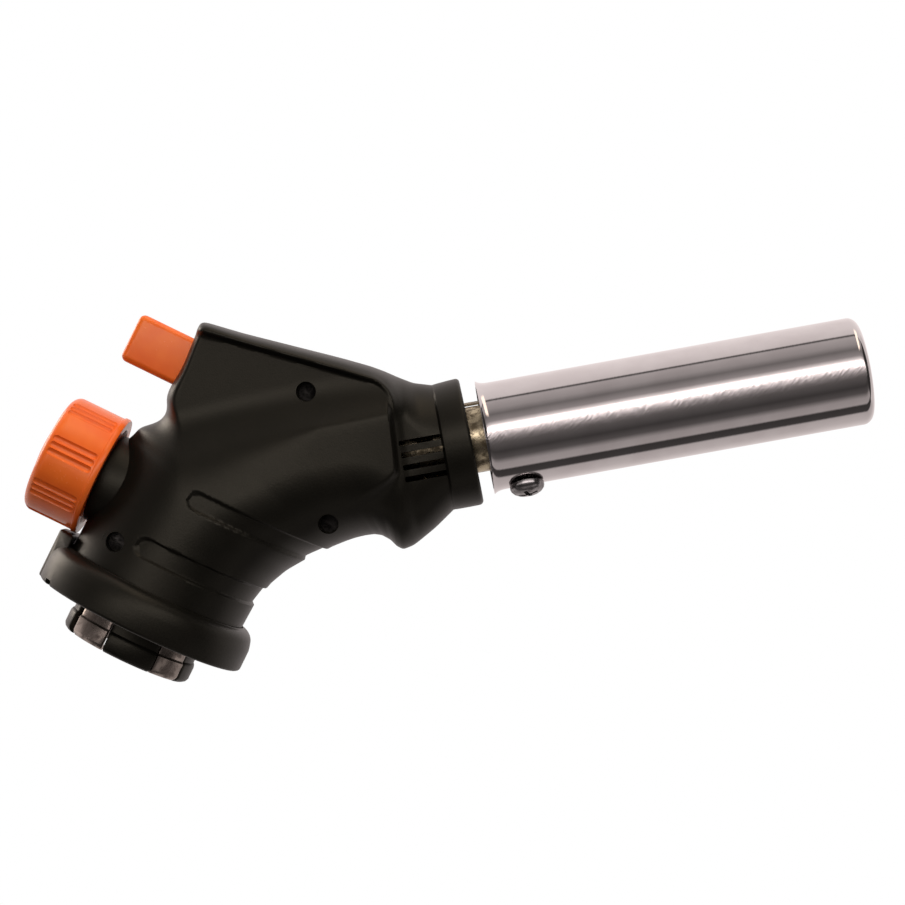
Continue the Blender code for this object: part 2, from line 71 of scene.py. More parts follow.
# %% The three axes
MM = 0.001
TUBE_LEAN = math.radians(36.17)
TUBE_CROSSES = 37.7
KNOB_HEIGHT = 30.6

UPRIGHT = Matrix.Identity(4)
TUBE = Matrix.Translation((0, 0, TUBE_CROSSES)) @ Matrix.Rotation(math.pi / 2 - TUBE_LEAN, 4, "Y")
KNOB = Matrix.Translation((0, 0, KNOB_HEIGHT)) @ Matrix.Rotation(-math.pi / 2, 4, "Y")
ALONG = Vector((math.cos(TUBE_LEAN), 0, math.sin(TUBE_LEAN)))
ABOVE = Vector((-math.sin(TUBE_LEAN), 0, math.cos(TUBE_LEAN)))
NEAR = Vector((0, -1, 0))
print("the tube leans", round(math.degrees(TUBE_LEAN), 1), "degrees above the horizontal")

# %% [markdown]
# ## A few hand tools
#
# Every piece starts from one primitive with nothing else selected. The helpers below do what a
# modeller does with the mouse: pick one object, clean its mesh, and set it in place. The place is kept
# in the mesh, so that a finished piece sits at the origin, where its finish expects it.

# %% Picking, cleaning and placing
# a radius in millimetres that counts as a point
POINT = 0.001


def deselect():
    bpy.ops.object.select_all(action="DESELECT")


def pick(piece):
    deselect()
    piece.select_set(True)
    bpy.context.view_layer.objects.active = piece
    return piece


def tidy(piece, merge=2 * POINT):
    """Merges doubles and points every face outwards."""
    pick(piece)
    bpy.ops.object.mode_set(mode="EDIT")
    bpy.ops.mesh.select_all(action="SELECT")
    bpy.ops.mesh.remove_doubles(threshold=merge)
    bpy.ops.mesh.normals_make_consistent(inside=False)
    bpy.ops.object.mode_set(mode="OBJECT")
    return piece


def place(piece, matrix):
    """Moves a piece onto its axis and keeps the place in its mesh."""
    pick(piece)
    piece.matrix_world = matrix @ piece.matrix_world
    bpy.ops.object.transform_apply(location=True, rotation=True, scale=True)
    return piece


print("two points closer than", 2 * POINT, "are one")

# %% [markdown]
# Holes, joined parts and rounded edges are modifiers, applied one after another. Manifold is the
# quickest of the Boolean solvers, and it keeps a closed piece closed.

# %% Cutting, joining and rounding
def carve(piece, tool, operation="DIFFERENCE"):
    """Takes the tool out of the piece, or joins it on, and uses the tool up."""
    pick(piece)
    step = piece.modifiers.new("carve", "BOOLEAN")
    step.operation = operation
    step.solver = "MANIFOLD"
    step.object = tool
    bpy.ops.object.modifier_apply(modifier=step.name)
    bpy.data.objects.remove(tool)
    return piece


def soften(piece, width, segments=3, angle=40):
    """Rounds the sharp edges of a piece."""
    pick(piece)
    step = piece.modifiers.new("soften", "BEVEL")
    step.width = width
    step.segments = segments
    step.limit_method = "ANGLE"
    step.angle_limit = math.radians(angle)
    bpy.ops.object.modifier_apply(modifier=step.name)
    return piece


def smooth(piece, degrees=30):
    pick(piece)
    bpy.ops.object.shade_smooth_by_angle(angle=math.radians(degrees))
    return piece


print("cutting and rounding ready")

# %% [markdown]
# Most pieces of a torch come off a lathe. A turned piece starts as a circle at the first point of its
# profile. The ring is extruded to the next height and resized to the next radius, round to the start.

# %% Turned pieces, rods and blocks
def turned(name, profile, segments=96):
    """A round piece about Z, from the radius and height of each point of its profile."""
    deselect()
    radius, height = profile[0]
    bpy.ops.mesh.primitive_circle_add(
        vertices=segments, radius=max(radius, POINT), location=(0, 0, height),
    )
    piece = bpy.context.object
    piece.name = name
    line = [(max(r, POINT), z) for r, z in profile]
    ends_on_axis = profile[0][0] == profile[-1][0] == 0
    if not ends_on_axis:
        line.append(line[0])
    bpy.ops.object.mode_set(mode="EDIT")
    bpy.ops.mesh.select_all(action="SELECT")
    for (old, low), (new, high) in zip(line, line[1:]):
        bpy.ops.mesh.extrude_region_move(TRANSFORM_OT_translate={"value": (0, 0, high - low)})
        bpy.ops.transform.resize(value=(new / old, new / old, 1), center_override=(0, 0, high))
    bpy.ops.object.mode_set(mode="OBJECT")
    return place(tidy(piece), UPRIGHT)


def arc(centre, radius, start, end, steps=6):
    """Points of a rounded corner in a profile, between two angles in degrees."""
    angles = [math.radians(start + (end - start) * step / steps) for step in range(steps + 1)]
    return [(centre[0] + radius * math.cos(a), centre[1] + radius * math.sin(a)) for a in angles]


def block(name, low, high):
    """A box between its lowest and its highest corner."""
    deselect()
    low, high = Vector(low), Vector(high)
    bpy.ops.mesh.primitive_cube_add(size=1, location=(low + high) / 2, scale=high - low)
    piece = bpy.context.object
    piece.name = name
    return place(piece, UPRIGHT)


def rod(name, radius, low, high, segments=32):
    """A closed cylinder about Z."""
    return turned(name, [(0, high), (radius, high), (radius, low), (0, low)], segments)


print("a quarter turn of a corner:", len(arc((0, 0), 1, 0, 90)), "points")

# %% [markdown]
# A claw is a short stretch of a ring. Its outline is drawn once as a small polygon, from a circle
# whose points are moved onto the outline, and the Spin tool sweeps it through the claw's angle. Spin
# turns clockwise for a positive angle, seen from above, so the angle is given as a negative one.

# %% Sweeping an outline round the cartridge
DEGREES_PER_STEP = 3


def swept(name, outline, middle, width):
    """Angles in degrees, from the side that faces the viewer towards the flame tube."""
    deselect()
    bpy.ops.mesh.primitive_circle_add(vertices=len(outline), radius=1, fill_type="NGON")
    piece = bpy.context.object
    piece.name = name
    start = math.radians(middle - width / 2 - 90)
    for vertex, (radius, height) in zip(piece.data.vertices, outline):
        vertex.co = (radius * math.cos(start), radius * math.sin(start), height)
    bpy.ops.object.mode_set(mode="EDIT")
    bpy.ops.mesh.select_all(action="SELECT")
    bpy.ops.mesh.spin(
        steps=round(width / DEGREES_PER_STEP), angle=-math.radians(width),
        center=(0, 0, 0), axis=(0, 0, 1),
    )
    bpy.ops.object.mode_set(mode="OBJECT")
    return tidy(piece)


print("a claw of 45 degrees takes", round(45 / DEGREES_PER_STEP), "steps")

# %% [markdown]
# ## Writing shaders as sums
#
# A finish is a small calculation about places on the surface. Wiring Math nodes one by one hides that
# calculation, so the class below wraps a socket and lets Python's operators add the nodes.

# %% A number on a surface
class Signal:
    """A number that changes over a surface."""

    def __init__(self, paint, socket):
        self.paint = paint
        self.socket = socket

    def math(self, operation, *others):
        values = dict(enumerate((self, *others)))
        node = self.paint.node("ShaderNodeMath", {"operation": operation}, values)
        return Signal(self.paint, node.outputs[0])

    def __add__(self, other):
        return self.math("ADD", other)

    def __sub__(self, other):
        return self.math("SUBTRACT", other)

    def __rsub__(self, other):
        return (self * -1.0) + other

    def __mul__(self, other):
        return self.math("MULTIPLY", other)

    def __truediv__(self, other):
        return self.math("DIVIDE", other)

    __radd__ = __add__
    __rmul__ = __mul__

    def step(self, low, high):
        """0 below low, 1 above high, and a soft change between."""
        node = self.paint.node(
            "ShaderNodeMapRange",
            {"interpolation_type": "SMOOTHSTEP"},
            {"Value": self, "From Min": low, "From Max": high},
        )
        return Signal(self.paint, node.outputs[0])


print("signals add, subtract, multiply, divide and step")

# %% [markdown]
# Nodes that aren't plain sums come from one method, which takes a node's type, its settings and what
# its sockets get. The few that every finish uses have a short name of their own.

# %% A tree of nodes
class Paint:
    """A node tree that is written from top to bottom."""

    def __init__(self, tree):
        self.tree = tree

    def node(self, kind, settings=None, inputs=None):
        made = self.tree.nodes.new(kind)
        for setting, value in (settings or {}).items():
            if setting == "stops":
                self.set_stops(made.color_ramp, value)
            else:
                setattr(made, setting, value)
        for socket, value in (inputs or {}).items():
            value = value.socket if isinstance(value, Signal) else value
            if isinstance(value, bpy.types.NodeSocket):
                self.tree.links.new(value, made.inputs[socket])
            else:
                made.inputs[socket].default_value = value
        return made

    def set_stops(self, ramp, stops):
        while len(ramp.elements) > 1:
            ramp.elements.remove(ramp.elements[0])
        ramp.elements[0].position = stops[0][0]
        ramp.elements[0].color = (*stops[0][1], 1)
        for position, colour in stops[1:]:
            ramp.elements.new(position).color = (*colour, 1)

    def place(self):
        return self.node("ShaderNodeTexCoord").outputs["Object"]

    def dot(self, vector, direction):
        values = {0: vector, 1: direction}
        made = self.node("ShaderNodeVectorMath", {"operation": "DOT_PRODUCT"}, values)
        return Signal(self, made.outputs["Value"])

    def vector(self, x, y, z):
        return self.node("ShaderNodeCombineXYZ", None, {"X": x, "Y": y, "Z": z}).outputs[0]

    def noise(self, where, scale, detail=3.0, roughness=0.5, distortion=0.0):
        made = self.node(
            "ShaderNodeTexNoise",
            None,
            {
                "Vector": where, "Scale": scale, "Detail": detail,
                "Roughness": roughness, "Distortion": distortion,
            },
        )
        return Signal(self, made.outputs["Fac"])

    def mix(self, factor, first, second):
        """Two colours by a factor from 0 to 1."""
        first = (*first, 1) if isinstance(first, tuple) else first
        second = (*second, 1) if isinstance(second, tuple) else second
        values = {"Factor": factor, 6: first, 7: second}
        return self.node("ShaderNodeMix", {"data_type": "RGBA"}, values).outputs[2]

    def bump(self, height, distance, strength=1.0, normal=None):
        inputs = {"Height": height, "Distance": distance, "Strength": strength}
        if normal is not None:
            inputs["Normal"] = normal
        return self.node("ShaderNodeBump", None, inputs).outputs[0]


print("node trees ready")

# %% [markdown]
# A finish is one material with one Principled shader. Numbers that stay the same all over are set on
# its sockets, and what changes over the surface is fed in.

# %% A finish
class Finish(Paint):
    """A surface material, with the Principled shader's own numbers set on its sockets."""

    def __init__(self, name, **constants):
        self.material = bpy.data.materials.new(name)
        self.material.use_nodes = True
        super().__init__(self.material.node_tree)
        self.shader = self.tree.nodes["Principled BSDF"]
        for key, value in constants.items():
            self.feed(key.replace("_", " "), value)

    def feed(self, name, value):
        value = value.socket if isinstance(value, Signal) else value
        socket = self.shader.inputs[name]
        if isinstance(value, bpy.types.NodeSocket):
            self.tree.links.new(value, socket)
        else:
            socket.default_value = value


print("finishes ready")

# %% [markdown]
# ## Black moulded plastic
#
# The housing is black ABS from a finely spark-eroded mould: almost black, with a slight warm sheen and
# a grain that is only just visible. A flat black would lose the grain, so a fine noise drives the bump
# and a slower one moves the roughness and the tone a little.

# %% Black plastic
WARM_SHEEN = (1.0, 0.97, 0.79, 1.0)
DEEP_BLACK = (0.0035, 0.0034, 0.0026)
WORN_BLACK = (0.0055, 0.0050, 0.0038)


def black_plastic(name):
    finish = Finish(name, Specular_Tint=WARM_SHEEN, Specular_IOR_Level=0.36)
    where = finish.place()
    grain = finish.noise(where, 3200.0, 2.0)
    clouds = finish.noise(where, 90.0, 3.0)
    finish.feed("Base Color", finish.mix(clouds.step(0.35, 0.7), DEEP_BLACK, WORN_BLACK))
    finish.feed("Roughness", clouds * 0.10 + grain * 0.10 + 0.30)
    finish.feed("Normal", finish.bump(grain, 0.00004, 0.55))
    return finish.material


BLACK = black_plastic("black moulded plastic")
print(BLACK.name, len(BLACK.node_tree.nodes), "nodes")

# %% [markdown]
# ## Orange moulded plastic
#
# Knob and button are a saturated orange with a satin face. The colour is a little deeper where the
# plastic is thick, and the surface has a faint orange peel.

# %% Orange plastic
DEEP_ORANGE = (0.88, 0.135, 0.016)
PALE_ORANGE = (0.94, 0.175, 0.021)


def orange_plastic(name):
    finish = Finish(name, Specular_Tint=WARM_SHEEN, Specular_IOR_Level=0.60)
    where = finish.place()
    clouds = finish.noise(where, 140.0, 2.0)
    peel = finish.noise(where, 1500.0, 1.0)
    finish.feed("Base Color", finish.mix(clouds.step(0.3, 0.7), DEEP_ORANGE, PALE_ORANGE))
    finish.feed("Roughness", peel * 0.08 + clouds * 0.08 + 0.17)
    finish.feed("Normal", finish.bump(peel, 0.00003, 0.5))
    return finish.material


ORANGE = orange_plastic("orange moulded plastic")
print(ORANGE.name, len(ORANGE.node_tree.nodes), "nodes")

# %% [markdown]
# ## Chromed steel
#
# The flame tube is bright chrome over drawn steel. What one sees is the room: long bands that run with
# the tube. The steel under the chrome was polished on a belt, so fine scratches cross the tube at a
# slant. They show most on one strip that faces the viewer, where the tube has been worn, and break the
# edge of the bright band there. They are drawn in the tube's own directions: along it, and round it.

# %% The tube's own directions
TUBE_RADIUS = 11.0
AXIS_POINT = Vector((0, 0, TUBE_CROSSES * MM))


def tube_places(finish):
    """How far along the tube a point lies, and its angle round the tube, 0 where it faces the viewer."""
    where = finish.place()
    along = finish.dot(where, ALONG) - AXIS_POINT.dot(ALONG)
    above = finish.dot(where, ABOVE) - AXIS_POINT.dot(ABOVE)
    near = finish.dot(where, NEAR)
    return along, above.math("ARCTAN2", near)


print("the tube is", 2 * TUBE_RADIUS, "mm across")

# %% Chrome with belt scratches
SCRATCHES_PER_M = 3600.0
SCRATCH_BREAKS_PER_M = 420.0
SLANT = 0.7
BRIGHT_CHROME = (0.86, 0.83, 0.83)
DULL_CHROME = (0.80, 0.765, 0.765)


def chrome(name):
    finish = Finish(name, Metallic=1.0)
    along, angle = tube_places(finish)
    round_it = angle * (TUBE_RADIUS * MM)
    slant = (along - round_it) * SCRATCHES_PER_M
    run = (along * SLANT + round_it * SLANT) * SCRATCH_BREAKS_PER_M
    scratches = finish.noise(finish.vector(slant, run, 0.0), 1.0, 2.0, 0.6)
    drawn = finish.noise(finish.vector(along * 60.0, round_it * 1500.0, 4.0), 1.0, 2.0)
    clouds = finish.noise(finish.place(), 160.0, 2.0)
    worn = angle.step(-0.24, -0.06) * (1.0 - angle.step(0.05, 0.22))
    finish.feed("Base Color", finish.mix(clouds.step(0.3, 0.7), DULL_CHROME, BRIGHT_CHROME))
    finish.feed("Roughness", scratches.step(0.5, 0.8) * worn * 0.16 + clouds * 0.03 + 0.035)
    relief = finish.bump(scratches.step(0.40, 0.72) * (worn + 0.10), 0.00004, 0.28)
    finish.feed("Normal", finish.bump(drawn, 0.000006, 0.25, relief))
    return finish.material


CHROME = chrome("polished chrome")
print(CHROME.name, len(CHROME.node_tree.nodes), "nodes")

# %% [markdown]
# ## Brass, steel and the hidden materials
#
# The brass burner is machined and has gone blotchy with heat and handling. The steel claws are dulled
# nickel, and the tube's and the knob's screws dark zinc. The housing's screws are coloured near-black as
# painted shade, so that their deep recesses read as dark holes. The electrode's wire is pale and the
# flame holder is coloured by heat. One helper makes all the metals: a tone, a tarnish tone that comes in
# clouds, and a fine relief.

# %% Metals
def metal(name, clean, tarnished, roughness, cloud_size, relief):
    finish = Finish(name, Metallic=1.0)
    where = finish.place()
    clouds = finish.noise(where, 1.0 / cloud_size, 4.0, 0.62, 0.4)
    fine = finish.noise(where, 2400.0, 3.0)
    stained = clouds.step(0.42, 0.66)
    finish.feed("Base Color", finish.mix(stained, clean, tarnished))
    finish.feed("Roughness", stained * 0.22 + fine * 0.10 + (roughness - 0.05))
    finish.feed("Normal", finish.bump(fine, 0.00003, relief))
    return finish.material


BRASS = metal("machined brass", (0.62, 0.54, 0.37), (0.26, 0.215, 0.14), 0.24, 0.0013, 0.9)
NICKEL = metal("bright nickel", (0.40, 0.35, 0.31), (0.20, 0.17, 0.15), 0.22, 0.003, 0.4)
ZINC = metal("dark zinc", (0.46, 0.45, 0.45), (0.16, 0.15, 0.15), 0.20, 0.003, 0.3)
# near-black screw steel: painted shade for the recesses the housing's screws sit in
RECESS_SHADE_STEEL = metal("steel darkened as recess shade", (0.05, 0.048, 0.045), (0.02, 0.019, 0.018), 0.45, 0.002, 0.4)
PALE_WIRE = metal("pale electrode wire", (0.95, 0.88, 0.74), (0.80, 0.70, 0.55), 0.50, 0.002, 0.4)
BRONZE = metal("sintered bronze", (0.40, 0.26, 0.14), (0.16, 0.10, 0.05), 0.55, 0.0005, 1.0)
HEATED = metal("heated steel", (0.50, 0.44, 0.40), (0.20, 0.15, 0.16), 0.30, 0.003, 0.5)
print([m.name for m in (BRASS, NICKEL, ZINC, RECESS_SHADE_STEEL, PALE_WIRE, BRONZE, HEATED)])

# %% [markdown]
# Seals, the electrode's ceramic, the igniter's case and the wire's sleeve are out of sight or nearly so.
# They share one simple finish: two tones of one colour, mixed by a fine grain that also gives the relief.

# %% Rubber, ceramic, grey plastic and wire sleeve
def moulded(name, deep, light, roughness, grain_size, relief):
    finish = Finish(name)
    where = finish.place()
    grain = finish.noise(where, 1.0 / grain_size, 3.0)
    finish.feed("Base Color", finish.mix(grain.step(0.3, 0.7), deep, light))
    finish.feed("Roughness", grain * 0.15 + (roughness - 0.07))
    finish.feed("Normal", finish.bump(grain, 0.00003, relief))
    return finish.material


RUBBER = moulded("seal rubber", (0.012, 0.012, 0.012), (0.025, 0.024, 0.023), 0.65, 0.0006, 0.6)
CERAMIC = moulded("glazed ceramic", (0.80, 0.79, 0.74), (0.88, 0.87, 0.83), 0.18, 0.0015, 0.2)
GREY = moulded("grey plastic", (0.16, 0.16, 0.17), (0.22, 0.22, 0.23), 0.42, 0.0005, 0.4)
SLEEVE = moulded("silicone sleeve", (0.38, 0.03, 0.02), (0.50, 0.05, 0.03), 0.40, 0.0008, 0.3)
print([m.name for m in (RUBBER, CERAMIC, GREY, SLEEVE)])

# %% [markdown]
# Each solid of the frame names a material slot in the record. The slot says which finish it gets, so
# the hidden parts, such as the valve and the piezo igniter, are finished in one loop. A few solids look
# different from the rest of their slot and are finished on their own.

# %% Finish every solid of the frame
FINISHES = {
    "black_abs": BLACK, "orange_plastic": ORANGE, "chromed_steel": CHROME, "nickel_steel": NICKEL,
    "screw_steel": ZINC, "brass": BRASS, "sintered_bronze": BRONZE, "rubber": RUBBER,
    "ceramic": CERAMIC, "grey_plastic": GREY, "wire_sleeve": SLEEVE,
}
SLOT_OF = {row["node"]: row["material_slot"] for row in frame["record"]["subparts"]}
BODIES = frame["record"]["behaviour"]["bodies"]
BODY_OF = {node: body for body, nodes in BODIES.items() for node in nodes}
for node, solid in frame["nodes"].items():
    solid.data.materials.clear()
    solid.data.materials.append(FINISHES[SLOT_OF[node]])
frame["nodes"]["flame_holder"].data.materials[0] = HEATED
frame["nodes"]["electrode"].data.materials[0] = PALE_WIRE
# the housing's screw heads get the near-black finish, painted shade in their recesses
for number in (1, 2, 3):
    frame["nodes"][f"housing_screw_{number}"].data.materials[0] = RECESS_SHADE_STEEL
print(len(frame["nodes"]), "solids finished with", len(FINISHES), "finishes")

# %% Fitting a new piece
def fit(piece, node):
    """The new piece takes the place, the body and the slot of a solid of the frame."""
    piece.data.materials.clear()
    piece.data.materials.append(FINISHES[SLOT_OF[node]])
    place(piece, Matrix.Scale(MM, 4))
    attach(piece, BODY_OF[node])
    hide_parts(node)
    print(piece.name, "stands for", node, "with", len(piece.data.polygons), "faces")


print("new pieces are drawn in millimetres and fitted at a scale of", MM)

# %% [markdown]
# ## The housing: a lofted body
#
# The housing swells from a round barrel over the cartridge into a block for the igniter, dips into a
# thumb scoop on each side, and narrows to a round neck for the burner. No single primitive is near
# that. It could be sculpted, but its outlines are drawn lines, so it is lofted: a grid is added, and
# each of its rows is laid on a straight line across the side view, from the front or underside to the
# back or top, bulging by its own half width. A mirror makes the other side.

# %% Stations of the loft
# front x, z, back x, z, half width, front round, back round, squareness, rows up to the next station
STATIONS = [
    (19.0, 14.3, -19.0, 14.3, 19.0, 19.0, 19.0, 2.0, 26),
    (19.3, 21.0, -18.8, 21.5, 19.0, 19.0, 19.0, 2.0, 24),
    (20.4, 26.0, -18.6, 28.5, 19.0, 19.4, 19.4, 2.0, 14),
    (22.1, 29.8, -18.5, 35.0, 19.0, 19.6, 18.0, 2.0, 14),
    (24.2, 32.9, -18.5, 40.0, 19.0, 19.6, 15.0, 2.0, 4),
    (24.6, 33.5, -17.9, 40.9, 19.0, 19.6, 14.5, 2.0, 5),
    (25.3, 34.4, -17.6, 42.3, 18.9, 19.5, 12.5, 2.0, 5),
    (25.7, 34.9, -17.0, 43.3, 18.8, 19.4, 11.0, 2.0, 6),
    (26.4, 35.7, -15.3, 44.8, 18.7, 19.3, 9.0, 2.0, 6),
    (26.9, 36.3, -14.2, 46.2, 18.5, 19.1, 7.5, 2.1, 6),
    (27.4, 36.9, -13.8, 47.8, 18.4, 19.0, 6.0, 2.1, 5),
    (27.7, 37.3, -14.1, 49.2, 18.3, 18.9, 5.3, 2.2, 6),
    (28.2, 38.0, -15.0, 50.9, 18.1, 18.7, 4.0, 2.3, 6),
    (28.6, 38.5, -15.2, 52.8, 18.0, 18.6, 3.0, 2.4, 10),
    (30.4, 40.5, -14.6, 58.0, 17.6, 18.2, 2.4, 2.6, 11),
    (31.9, 42.0, -15.0, 64.0, 17.2, 17.8, 2.4, 2.6, 10),
    (33.5, 43.3, -15.3, 67.9, 16.9, 17.4, 2.6, 2.6, 18),
    (35.0, 44.3, -6.5, 69.4, 16.6, 17.0, 3.0, 2.6, 18),
    (36.5, 44.8, 3.5, 71.5, 16.2, 16.6, 3.2, 2.6, 18),
    (38.5, 44.7, 13.5, 73.6, 15.6, 16.2, 3.4, 2.6, 14),
    (40.2, 44.1, 19.5, 74.7, 15.1, 15.9, 4.2, 2.5, 10),
    (41.7, 44.1, 22.5, 75.0, 14.8, 15.6, 5.2, 2.4, 10),
    (43.3, 45.9, 25.2, 75.1, 14.3, 14.9, 8.0, 2.2, 14),
    (45.6, 50.9, 28.6, 75.4, 13.6, 14.2, 12.0, 2.0, 14),
]
NECK_START = 48.9
NECK_LENGTH = 5.7
NECK_RADIUS = 12.5
NECK_FLAT = 11.7
# how far along the neck, radius there
NECK_ROWS = [(0.0, 12.5), (0.15, 12.5), (0.3, 12.51), (0.45, 12.53), (0.6, 12.56), (1.6, 12.66)]
NECK_ROWS += [(3.0, 12.78), (4.4, 12.88), (4.9, 12.9), (5.15, 12.87), (5.4, 12.76), (5.58, 12.56)]
NECK_ROWS += [(5.7, 12.3)]
print(len(STATIONS), "stations on the body and", len(NECK_ROWS), "on the neck")

# %% [markdown]
# Between two stations the rows change evenly, which leaves a kink at each station. Each row is
# therefore averaged with its neighbours a few times. Widths and roundings change more slowly than the
# outline does, so they are averaged many more times.

# %% Rows of the loft
OUTLINE_SMOOTHING = 8
WIDTH_SMOOTHING = 60
NECK_SAG = 0.8
END_LEAN = 0.6
END_RISE = 0.5


def on_tube(along, above):
    """The x and z of a point given along the tube's axis and square to it."""
    return (
        along * math.cos(TUBE_LEAN) - above * math.sin(TUBE_LEAN),
        TUBE_CROSSES + along * math.sin(TUBE_LEAN) + above * math.cos(TUBE_LEAN),
    )


def neck_station(along, radius):
    """The neck is a little deeper below, and its end leans forward there."""
    share = (along - NECK_START) / NECK_LENGTH
    below = on_tube(along + END_LEAN * share, -radius - NECK_SAG + END_RISE * share)
    return (*below, *on_tube(along, radius), radius, radius, radius, 2.0)


def averaged(rows):
    return (rows[:-2] + 2 * rows[1:-1] + rows[2:]) / 4


def loft_rows():
    """Every row of the loft, with the stations blended so that no kink shows between them."""
    marks = [np.array(station[:8]) for station in STATIONS]
    marks.append(np.array(neck_station(NECK_START, NECK_RADIUS)))
    rows = []
    for station, mark, after in zip(STATIONS, marks, marks[1:]):
        rows += [mark + (after - mark) * step / station[8] for step in range(station[8])]
    rows = np.array(rows + [marks[-1]])
    for _ in range(OUTLINE_SMOOTHING):
        rows[1:-1] = averaged(rows)
    for _ in range(WIDTH_SMOOTHING):
        rows[1:-1, 4:] = averaged(rows[:, 4:])
    neck = [neck_station(NECK_START + further, radius) for further, radius in NECK_ROWS[1:]]
    return np.vstack([rows, neck])


rows = loft_rows()
print(len(rows), "rows from the foot of the barrel to the end of the neck")

# %% [markdown]
# The half width isn't the same all over a row. Above a ridge that runs with the flame tube it falls
# into the thumb scoop, steeply at first and then flat. The ridge is sharp in front and fades towards the
# back. The scoop ends at a raised lip under the top edge and along the front line, where the neck
# begins, with a small bead on its rim. These are written as a field of widths over the side view, so
# that the lines can run freely across the rows.

# %% Lines and levels of the scoop
RIDGE = 8.1
RIDGE_SOFTNESS = 0.7
RIDGE_FADES_BEHIND = 16.0
RIDGE_FADE = 0.25
SCOOP_RISE = 10.0
SCOOP_CURVE = 2.3
SCOOP_FLOOR = 11.6
LIP = 12.9
LIP_CORNER = 3.6
LIP_BLEND = 3.0
RIM_STEP = 1.1
RIM_FADES_BELOW = -3.0
FADED_RIM_STEP = 9.0
BEAD_HEIGHT = 0.30
BEAD_WIDTH = 0.5
FRONT_LINE = 40.0
FRONT_LINE_LEAN = 0.06
# one point of the line, x and z, and its slope
TOP_LINE = (-13.5, 66.1, 0.1824)
print("the scoop is", round(LIP - SCOOP_FLOOR, 1), "mm deeper than its lip")

# %% Width field
BLEND = 0.5


def ease(value):
    """0 below 0, 1 above 1, and a soft change between."""
    value = np.clip(value, 0.0, 1.0)
    return value * value * (3 - 2 * value)


def half_width(x, z, section):
    """The width at a point of the side view, where the row itself is as wide as its section."""
    along = x * math.cos(TUBE_LEAN) + (z - TUBE_CROSSES) * math.sin(TUBE_LEAN)
    above = (z - TUBE_CROSSES) * math.cos(TUBE_LEAN) - x * math.sin(TUBE_LEAN)
    softness = RIDGE_SOFTNESS + RIDGE_FADE * np.maximum(RIDGE_FADES_BEHIND - x, 0.0)
    climb = ((above - RIDGE) + np.sqrt((above - RIDGE) ** 2 + softness ** 2)) / 2
    scoop = 1 - (1 - np.clip(climb / SCOOP_RISE, 0.0, 1.0)) ** SCOOP_CURVE
    hollow = section + (np.minimum(SCOOP_FLOOR, section) - section) * scoop

    top_x, top_z, slope = TOP_LINE
    under_top = (top_z + slope * (x - top_x) - z) * math.cos(math.atan(slope))
    behind_front = FRONT_LINE + FRONT_LINE_LEAN * above - along
    short = np.minimum(under_top, behind_front)
    below_corner = np.maximum(LIP_CORNER - under_top, 0)
    behind_corner = np.maximum(LIP_CORNER - behind_front, 0)
    from_corner = np.hypot(below_corner, behind_corner)
    inside = np.where(short > LIP_CORNER, short, LIP_CORNER - from_corner)

    lip = np.minimum(LIP, section)
    neck = np.minimum(NECK_FLAT, section)
    neck = neck + (section - neck) * ease((along - NECK_START) / BLEND)
    outside = lip + (neck - lip) * ease((BLEND - behind_front) / LIP_BLEND)
    bead = BEAD_HEIGHT * np.exp(-(((inside + 0.15) / BEAD_WIDTH) ** 2))
    bead = bead * ease((above - RIDGE + 2.0) / 3.0)
    step = RIM_STEP + FADED_RIM_STEP * ease((RIM_FADES_BELOW - above) / 6.0)
    return outside + (hollow - outside) * ease(inside / step) + bead


middle = half_width(np.array(0.0), np.array(66.0), np.array(17.0))
print("half width in the thumb scoop, above the middle:", round(float(middle), 2), "mm")

# %% [markdown]
# Each row runs from the front edge to the back edge, with its points closest together near the edges,
# where the section curves most. The same rows, drawn inwards by a wall's thickness, give the hollow.

# %% Points of the loft
LEAST_ROUND = 0.3


def rounding(inside, radius, squareness):
    """The share of the full width at a distance inside an edge. A squareness of 2 is a quarter circle."""
    share = np.clip(1 - inside / radius, 0.0, 1.0)
    return np.maximum(1 - share ** squareness, 0.0) ** (1 / squareness)


def loft_points(rows, shares, inset=0.0):
    """Points of the near side. Shares run from the front edge, 0, to the back edge, 1."""
    front, back = rows[:, None, 0:2], rows[:, None, 2:4]
    half, front_round, back_round, squareness = (rows[:, None, k] for k in range(4, 8))
    length = np.linalg.norm(back - front, axis=2)
    reach = inset + (length - 2 * inset) * (1 - np.cos(math.pi * shares[None, :])) / 2
    spot = front + (back - front) * (reach / length)[..., None]
    x, z = spot[..., 0], spot[..., 1]
    front_edge = rounding(reach - inset, np.maximum(front_round - inset, LEAST_ROUND), 2.0)
    back_edge = rounding(length - reach - inset, np.maximum(back_round - inset, LEAST_ROUND), squareness)
    width = (half_width(x, z, half) - inset) * front_edge * back_edge
    return np.stack([x, -width, z], axis=2)


print("near and far side meet where the width is 0")

# %% [markdown]
# Two shallow bands for the fingers wrap round the front. They are pressed in along the surface's own
# normal, which is measured from the neighbouring points of the grid.

# %% Finger bands
# lower edge, upper edge, rear end
BANDS = ((33.5, 37.3, -1.0), (20.6, 24.7, -6.3))
BAND_DEPTH = 0.65
BAND_EDGE = 0.55


def band_mask(x, z):
    """1 on a band and 0 off it, with a soft edge. The rear end of a band is round."""
    mask = np.zeros_like(x)
    for low, high, left in BANDS:
        half = (high - low) / 2
        off = np.abs(z - (low + high) / 2)
        inside = half - np.where(x < left + half, np.hypot(left + half - x, off), off)
        mask = np.maximum(mask, ease(inside / BAND_EDGE + 0.3))
    return mask


def press_bands(points):
    down, across = np.gradient(points, axis=0), np.gradient(points, axis=1)
    normal = np.cross(across, down)
    normal /= np.maximum(np.linalg.norm(normal, axis=2), 1e-9)[..., None]
    outward = np.sign((normal * np.array(NEAR)).sum(axis=2).mean())
    depth = BAND_DEPTH * band_mask(points[..., 0], points[..., 2])[..., None]
    pressed = points - normal * outward * depth
    pressed[:, 0, 1] = pressed[:, -1, 1] = 0.0
    return pressed


print(len(BANDS), "bands,", BAND_DEPTH, "mm deep")

